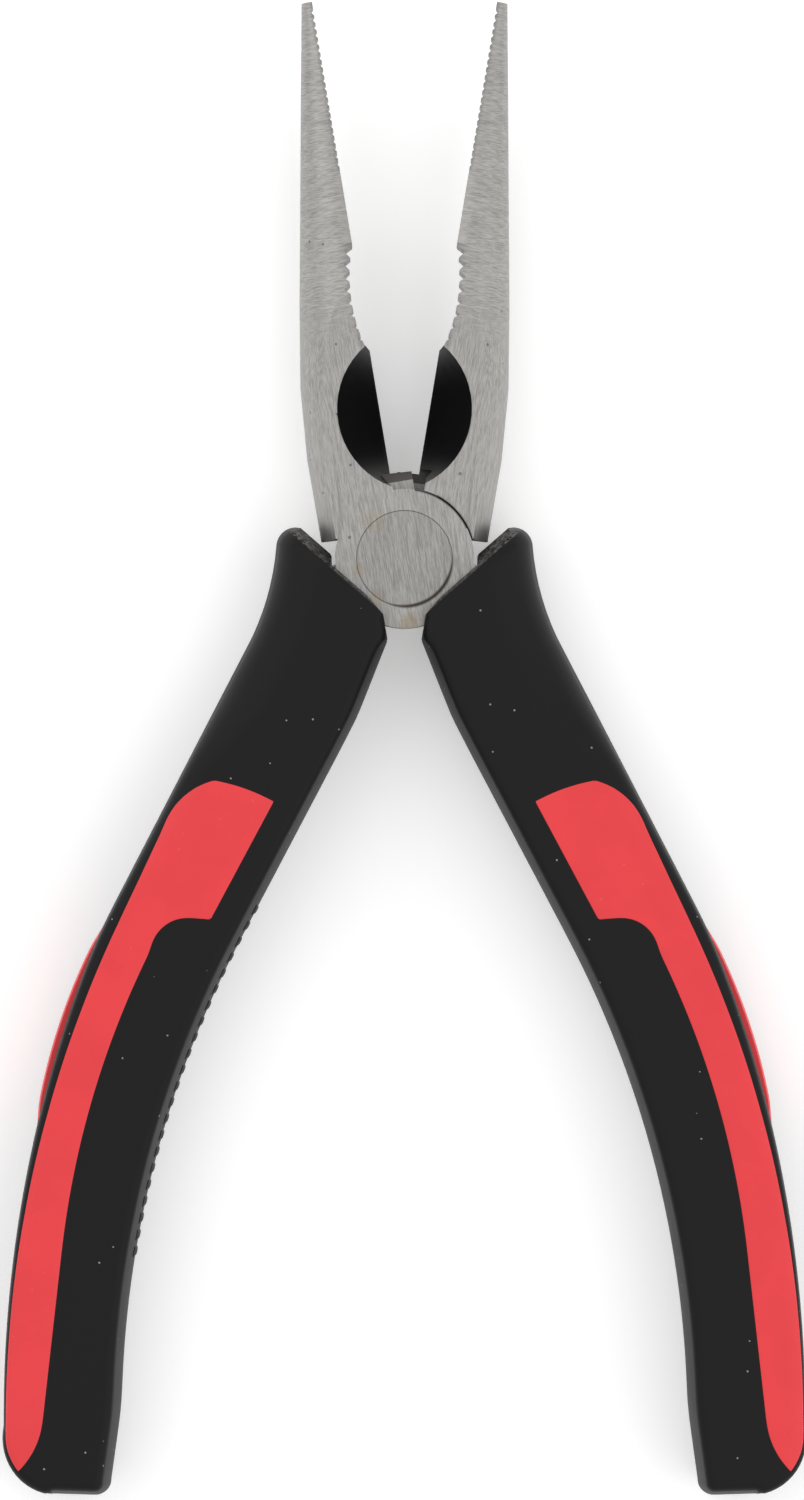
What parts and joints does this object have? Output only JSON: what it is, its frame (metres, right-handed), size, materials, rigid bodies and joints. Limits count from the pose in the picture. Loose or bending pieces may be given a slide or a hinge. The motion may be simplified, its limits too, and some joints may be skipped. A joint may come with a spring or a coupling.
{
  "type": "long nose pliers",
  "caption": "Long-nose combination pliers with fine-toothed tips, a pipe grip, side cutters, a riveted lap joint and two-colour moulded grips.",
  "frame": {"origin": "centre of the open tool's bounding box in plan, on the plane that the backs of both grips rest on", "axes": "+Y from the handles to the jaw tips, +Z along the rivet axis up from the resting plane, +X to the right seen from above"},
  "size_m": [0.0836, 0.1551, 0.013],
  "materials": {
    "tool_steel": "ground and cross-brushed tool steel, lightly oiled",
    "rivet_steel": "steel rivet ground flush with the joint",
    "black_grip": "matte black soft-touch moulding",
    "red_inlay": "satin red moulding"
  },
  "bodies": {
    "front_lever": {"front_lever_forging": "tool_steel", "pivot_rivet": "rivet_steel", "right_grip_sleeve": "black_grip", "right_grip_front_inlay": "red_inlay", "right_grip_rear_inlay": "red_inlay", "right_grip_edge_inlay": "red_inlay"},
    "rear_lever": {"rear_lever_forging": "tool_steel", "left_grip_sleeve": "black_grip", "left_grip_front_inlay": "red_inlay", "left_grip_rear_inlay": "red_inlay", "left_grip_edge_inlay": "red_inlay"}
  },
  "joints": [
    {"name": "lever_pivot", "type": "hinge", "parent": "front_lever", "child": "rear_lever", "pos_m": [0, 0.01963, 0.0065], "axis": [0, 0, 1], "range_deg": [0, 18.8]}
  ]
}
